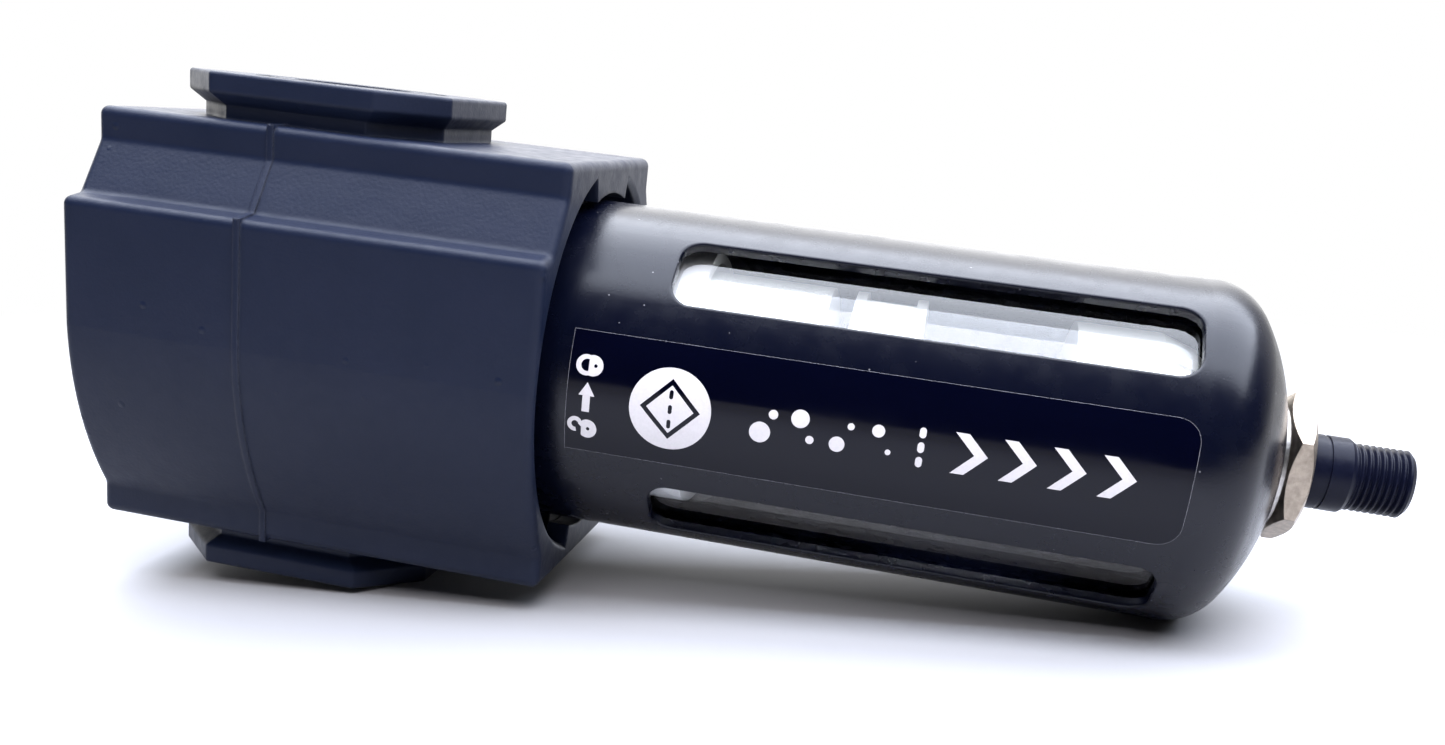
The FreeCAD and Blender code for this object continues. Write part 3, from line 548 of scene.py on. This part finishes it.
def disc(along, across, radius, count=DOT_POINTS):
    """A full circle."""
    return arc_points(along, across, radius, 0, 360, count + 1)[:-1]


def diamond(along, across, reach):
    """A square standing on its corner."""
    return [(along - reach, across), (along, across - reach), (along + reach, across),
            (along, across + reach)]


def bar(along, across, length, width):
    """A straight stroke with round ends, its length across the label."""
    half = (length - width) / 2
    return (arc_points(along, across + half, width / 2, 0, 180, BAR_END_POINTS)
            + arc_points(along, across - half, width / 2, 180, 360, BAR_END_POINTS))


def chevron(along, across, height, width):
    """An arrow head that points down the label."""
    half = height / 2
    return [(along, across - half), (along + width, across - half), (along + width + half, across),
            (along + width, across + half), (along, across + half), (along + half, across)]


def arrow(along, across, length):
    """A block arrow that points across the label, towards the closed padlock."""
    half = length / 2
    head = ARROW_HEAD * length
    shaft = ARROW_SHAFT * length
    neck = across + half - ARROW_HEAD_LENGTH * head
    return [(along - shaft, across - half), (along - shaft, neck), (along - head, neck),
            (along, across + half), (along + head, neck), (along + shaft, neck),
            (along + shaft, across - half)]


def closed_padlock(along, across):
    """A lock body with a keyhole, and a shackle that closes on it."""
    shackle = along - LOCK_APART / 2
    body = along + LOCK_APART / 2
    turn = math.degrees(math.acos(LOCK_APART / 2 / LOCK_RADIUS))
    outside = (arc_points(body, across, LOCK_RADIUS, turn - 180, 180 - turn, LOCK_POINTS)
               + arc_points(shackle, across, LOCK_RADIUS, turn, 360 - turn, LOCK_POINTS))
    hole = arc_points(shackle + RING_HOLE_SHIFT, across, RING_HOLE_SIZE * LOCK_RADIUS,
                      RING_HOLE_TURN, 360 - RING_HOLE_TURN, HOLE_POINTS)
    return [outside, hole, disc(body + KEYHOLE_SHIFT, across, KEYHOLE_RADIUS, HOLE_POINTS)]


def open_padlock(along, across):
    """A lock body with a keyhole and a flat side, and a thick shackle that hooks away from it."""
    body = along + HOOK_APART
    hook = across + HOOK_SHIFT
    body_radius = OPEN_BODY_SIZE * LOCK_RADIUS
    outer = HOOK_SIZE * LOCK_RADIUS
    inner = HOOK_HOLE_SIZE * outer
    corner = (body + body_radius * math.cos(math.radians(FLAT_TURN)), across + CORNER_SHIFT)
    outside = (arc_points(body, across, body_radius, -FLAT_TURN, FLAT_TURN, HOOK_POINTS)
               + arc_points(along, hook, outer, HOOK_START, HOOK_END, HOOK_POINTS)
               + arc_points(along, hook, inner, HOOK_END, HOOK_HOLE_END, HOOK_POINTS)
               + [corner])
    return [outside, disc(body + OPEN_KEYHOLE_SHIFT, across, KEYHOLE_RADIUS, HOLE_POINTS)]


def filter_sign(along, across, radius):
    """A white roundel with the standard sign for a filter: a diamond with a dashed line."""
    stroke = SIGN_STROKE * radius
    reach = SIGN_REACH * radius
    dashes = [bar(along, across + step * DASH_PITCH * radius, SIGN_DASH * radius, stroke)
              for step in (-1, 0, 1)]
    return [disc(along, across, radius, SIGN_POINTS), diamond(along, across, reach),
            diamond(along, across, reach - SIGN_LINE * stroke), *dashes]


def dust_dots(start, pitch, across, height):
    """Pairs of a large and a small dot on changing sides, which get smaller along the strip."""
    dots = []
    for step in range(DUST_COUNT):
        centre = start + pitch * (step + 0.5)
        size = height * (DUST_SIZE - DUST_SHRINK * step)
        side = height * (DUST_SIDE if step % 2 else -DUST_SIDE)
        dots.append(disc(centre, across + side, size))
        small = centre + SMALL_DUST_STEP * pitch
        dots.append(disc(small, across - side, SMALL_DUST_SIZE * size))
    return dots


def flow_strip(start, end, across, height):
    """Dusty air on the left of a dashed screen, clean air on its right."""
    pitch = (end - start) / STRIP_STEPS
    dust = dust_dots(start, pitch, across, height)
    screen_place = start + SCREEN_STEP * pitch
    screen = [bar(screen_place, across + height * step * DASH_PITCH, SCREEN_DASH * height, STROKE)
              for step in (-1, 0, 1)]
    tips = [start + pitch * (CHEVRON_START + CHEVRON_APART * step) for step in range(CHEVRON_COUNT)]
    clean = [chevron(tip, across, height, 2 * STROKE) for tip in tips]
    return dust + screen + clean


def flat_print(name, outlines):
    """A thin plate with the outlines' shape, in a plane."""
    curve = bpy.data.curves.new(name, "CURVE")
    curve.dimensions = "2D"
    curve.fill_mode = "BOTH"
    curve.extrude = PRINT_HEIGHT / 2
    for points in outlines:
        spline = curve.splines.new("POLY")
        spline.points.add(len(points) - 1)
        for point, (along, across) in zip(spline.points, points):
            point.co = (along * MM, across * MM, 0.0, 1.0)
        spline.use_cyclic_u = True
    shape = bpy.data.objects.new(name, curve)
    bpy.context.scene.collection.objects.link(shape)
    bpy.context.view_layer.update()
    mesh = bpy.data.meshes.new_from_object(shape)
    bpy.data.objects.remove(shape)
    return mesh


def cut_in_strips(mesh, step):
    """Cut a flat mesh into narrow strips, so that it can be wrapped round a cylinder."""
    work = bmesh.new()
    work.from_mesh(mesh)
    bmesh.ops.remove_doubles(work, verts=work.verts, dist=SAME_POINT)
    reach = int(max(abs(vertex.co.y) for vertex in work.verts) / step)
    slice_mesh(work, (0, 1, 0), [(0, index * step, 0) for index in range(-reach, reach + 1)])
    bmesh.ops.recalc_face_normals(work, faces=work.faces)
    work.to_mesh(mesh)
    work.free()


def wrap_on_guard(mesh, radius, top, middle):
    """Bend a flat mesh round the guard: x becomes the way down, y the way round, z the way out."""
    for vertex in mesh.vertices:
        along, across, out = vertex.co
        turn = middle + across / radius
        reach = radius + out
        vertex.co = (reach * math.sin(turn), -reach * math.cos(turn), top - along)


def make_label_print(ink):
    """Everything printed on the label, as one piece. Ink has no slot of its own in the record."""
    low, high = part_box("guard_label")
    radius = -low.y + PRINT_HEIGHT / 2
    middle = (math.asin(low.x / -low.y) + math.asin(high.x / -low.y)) / 2
    outlines = [
        *closed_padlock(*CLOSED_LOCK_PLACE),
        arrow(*ARROW_PLACE, ARROW_LENGTH),
        *open_padlock(*OPEN_LOCK_PLACE),
        *filter_sign(*SIGN_PLACE, SIGN_RADIUS),
        *flow_strip(STRIP_START, STRIP_END, STRIP_ACROSS, STRIP_HEIGHT),
    ]
    mesh = flat_print("label_print", outlines)
    cut_in_strips(mesh, PRINT_STEP)
    wrap_on_guard(mesh, radius, high.z, middle)
    add_piece("label_print", mesh, ink)


# ---------------------------------------------------------------------------------------------
# Thread of the drain's outlet
# ---------------------------------------------------------------------------------------------

# A G1/8 pipe thread. It starts a little above the outlet's end, and is cut by moving the points
# of the outer wall, which are those within RADIUS_SLACK of its radius.
THREAD_RADIUS = 4.864 * MM
THREAD_PITCH = 0.907 * MM
THREAD_DEPTH = 0.581 * MM
THREAD_START = 0.6 * MM
THREAD_LENGTH = 7.2 * MM
RUN_OUT = 0.5 * MM
RADIUS_SLACK = 0.05 * MM
SLICES_PER_TURN = 14

# How much steeper the flanks are than those of a plain wave.
FLANK_GAIN = 1.15


def thread_dip(level, turn, foot):
    """Depth of the thread below its crest at a level and an angle. The crest and the root are
    round, and the thread runs out at both ends."""
    phase = ((level - foot) / THREAD_PITCH + turn / math.tau) % 1.0
    valley = 1.0 - abs(2.0 * phase - 1.0)
    steeper = min(1.0, max(0.0, 0.5 + FLANK_GAIN * (valley - 0.5)))
    rounded = 0.5 - 0.5 * math.cos(math.pi * steeper)
    ends = min(1.0, (level - foot) / RUN_OUT, (foot + THREAD_LENGTH - level) / RUN_OUT)
    return THREAD_DEPTH * rounded * max(0.0, ends)


def cut_thread(work, foot):
    """Push the outlet's outer wall in along a helix, above foot."""
    slices = round(THREAD_LENGTH / THREAD_PITCH * SLICES_PER_TURN)
    levels = [foot + THREAD_LENGTH * index / slices for index in range(slices + 1)]
    slice_mesh(work, (0, 0, 1), [(0, 0, level) for level in levels])
    for vertex in work.verts:
        x, y, z = vertex.co
        radius = math.hypot(x, y)
        if abs(radius - THREAD_RADIUS) < RADIUS_SLACK and foot < z < foot + THREAD_LENGTH:
            shrink = 1.0 - thread_dip(z, math.atan2(y, x), foot) / radius
            vertex.co = (x * shrink, y * shrink, z)


def make_threaded_drain(finish):
    """The drain body with its outlet's thread cut in."""
    work = bmesh.new()
    work.from_mesh(nodes["drain_body"].data)
    cut_thread(work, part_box("drain_body")[0].z + THREAD_START)
    mesh = bpy.data.meshes.new("threaded_drain")
    work.to_mesh(mesh)
    work.free()
    piece = add_piece("threaded_drain", mesh, finish)
    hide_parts("drain_body")


# ---------------------------------------------------------------------------------------------
# Spring under the piston
# ---------------------------------------------------------------------------------------------


def make_squeezed_spring(finish):
    """The piston's spring as a piece of its own, which moves with the bowl in place of the CAD one."""
    piece = add_piece("squeezed_spring", nodes["piston_spring"].data.copy(), finish)
    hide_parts("piston_spring")
    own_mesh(piece)


# ---------------------------------------------------------------------------------------------
# Floor, light and camera
# ---------------------------------------------------------------------------------------------

# The filter lies on its side, so the floor stands upright in this frame. It touches the lower
# edge of the -X flange and the foot of the guard, so it leans from the bowl's axis.
FLOOR_LEAN = math.radians(6.5)
FLOOR_UP = Vector((math.cos(FLOOR_LEAN), 0.0, math.sin(FLOOR_LEAN)))
FLANGE_EDGE = -21 * MM
FLOOR_SIDE = 3.0
GLOW_START = 0.15
GLOW_FULL = 0.4

# A lamp's place is given from the origin, and an offset from the middle of what it lights.
OVERHEAD_PLACE = Vector((0.5, 0.11, -0.06))
OVERHEAD_SIZE = (0.76, 1.2)
OVERHEAD_GLOW = 7.3
OVERHEAD_COLOUR = (0.81, 0.87, 1.0)
FILL_OFFSET = Vector((0.44, -0.24, 0.0))
FILL_SIZE = (0.4, 0.4)
FILL_GLOW = 6.5
FILL_COLOUR = (0.97, 0.95, 1.0)
WINDOW_OFFSET = Vector((0.21, -0.45, 0.0))
WINDOW_SIZE = (0.3, 0.3)
WINDOW_GLOW = 10.0
WINDOW_COLOUR = (0.95, 0.98, 1.0)
WHITE_PARTS = ("filter_element", "quiet_zone_baffle", "float_housing")

# The room's brightness in a direction is the product of two ramps, over the direction's Y and
# over its Z. A ramp gives its start and end and the brightness at both.
REAR_RAMP = (0.05, 0.6, 0.02, 2.7)
FOOT_RAMP = (-0.5, -0.1, 0.2, 1.0)

CAMERA_PLACE = Vector((40.1, -196.2, -95.9)) * MM
CAMERA_AIM = Vector((-17.8, 0.0, -60.3)) * MM
CAMERA_LENS = 32.35
CAMERA_SHIFT = (0.022, 0.079)
CAMERA_CLIP = 1 * MM


def facing(place, forward, up):
    """A placement that looks along forward with up in its upper half."""
    forward = forward.normalized()
    right = forward.cross(up).normalized()
    turn = Matrix((right, right.cross(forward), -forward)).transposed()
    return Matrix.Translation(place) @ turn.to_4x4()


def make_floor():
    """A large sheet under the filter."""
    mesh = bpy.data.meshes.new("floor")
    half = FLOOR_SIDE / 2
    corners = [(-half, -half, 0), (half, -half, 0), (half, half, 0), (-half, half, 0)]
    mesh.from_pydata(corners, [], [(0, 1, 2, 3)])
    mesh.materials.append(floor_paper())
    floor = bpy.data.objects.new("floor", mesh)
    edge = Vector((cad_box[0][0], 0.0, FLANGE_EDGE))
    floor.matrix_world = facing(edge, -FLOOR_UP, Vector((0, 1, 0)))
    bpy.context.scene.collection.objects.link(floor)


def soft_box(name, place, aim, size, glow, colour):
    """A rectangular lamp at place that shines along aim. Glow is its brightness, with white as 1."""
    width, length = size
    lamp = bpy.data.lights.new(name, "AREA")
    lamp.shape = "RECTANGLE"
    lamp.size = width
    lamp.size_y = length
    lamp.energy = glow * math.pi * width * length
    lamp.color = colour
    holder = bpy.data.objects.new(name, lamp)
    holder.matrix_world = facing(place, aim, Vector((0, 0, 1)))
    bpy.context.scene.collection.objects.link(holder)
    return holder


def light_studio():
    """A wide bright soft box overhead, and a smaller one in front that leaves no mirror image in
    the glossy paint."""
    down = Vector((-1, 0, 0))
    soft_box("overhead", OVERHEAD_PLACE, down, OVERHEAD_SIZE, OVERHEAD_GLOW, OVERHEAD_COLOUR)
    middle = Vector((0, 0, (cad_box[0][2] + cad_box[1][2]) / 2))
    fill = soft_box("fill", middle + FILL_OFFSET, -FILL_OFFSET, FILL_SIZE, FILL_GLOW, FILL_COLOUR)
    fill.visible_glossy = False


def light_white_parts():
    """A lamp in front that only the white parts inside the bowl receive. It stands for the light
    that soaks through them from all sides."""
    middle = (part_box("filter_element")[0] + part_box("float_housing")[1]) / 2
    lamp = soft_box("window_fill", middle + WINDOW_OFFSET, -WINDOW_OFFSET, WINDOW_SIZE, WINDOW_GLOW,
                    WINDOW_COLOUR)
    lamp.visible_glossy = False
    lit = bpy.data.collections.new("white_parts")
    for name in WHITE_PARTS:
        lit.objects.link(nodes[name])
    lamp.light_linking.receiver_collection = lit


def light_room():
    """A room that is bright behind, dark in front and past the drain, and plain white to the
    camera."""
    world = bpy.data.worlds.new("room")
    bpy.context.scene.world = world
    world.use_nodes = True
    room = NodeTree(world.node_tree)
    direction = room.node("SeparateXYZ")
    room.feed(direction.inputs[0], room.node("TexCoord").outputs["Generated"])
    rear = room.between(direction.outputs["Y"], *REAR_RAMP)
    foot = room.between(direction.outputs["Z"], *FOOT_RAMP)
    seen = room.node("Mix")
    room.feed(seen.inputs["Factor"], room.node("LightPath").outputs["Is Camera Ray"])
    room.feed(seen.inputs["A"], room.times(rear, foot))
    room.feed(seen.inputs["B"], 1.0)
    background = room.tree.nodes["Background"]
    room.feed(background.inputs["Strength"], seen.outputs["Result"])
    room.feed(background.inputs["Color"], (1.0, 1.0, 1.0, 1.0))


def place_camera():
    """The photographer's place, close to the front and a little above the floor."""
    lens = bpy.data.cameras.new("camera")
    lens.lens = CAMERA_LENS
    lens.shift_x, lens.shift_y = CAMERA_SHIFT
    lens.clip_start = CAMERA_CLIP
    camera = bpy.data.objects.new("camera", lens)
    camera.matrix_world = facing(CAMERA_PLACE, CAMERA_AIM - CAMERA_PLACE, FLOOR_UP)
    bpy.context.scene.collection.objects.link(camera)
    bpy.context.scene.camera = camera
    bpy.context.scene.view_settings.view_transform = "Standard"


finishes = finish_by_slot()
paint_nodes(finishes)
make_label_print(print_ink())
make_threaded_drain(finishes["black_plastic"])
make_squeezed_spring(finishes["plated_steel"])
make_floor()
light_studio()
light_white_parts()
light_room()
place_camera()
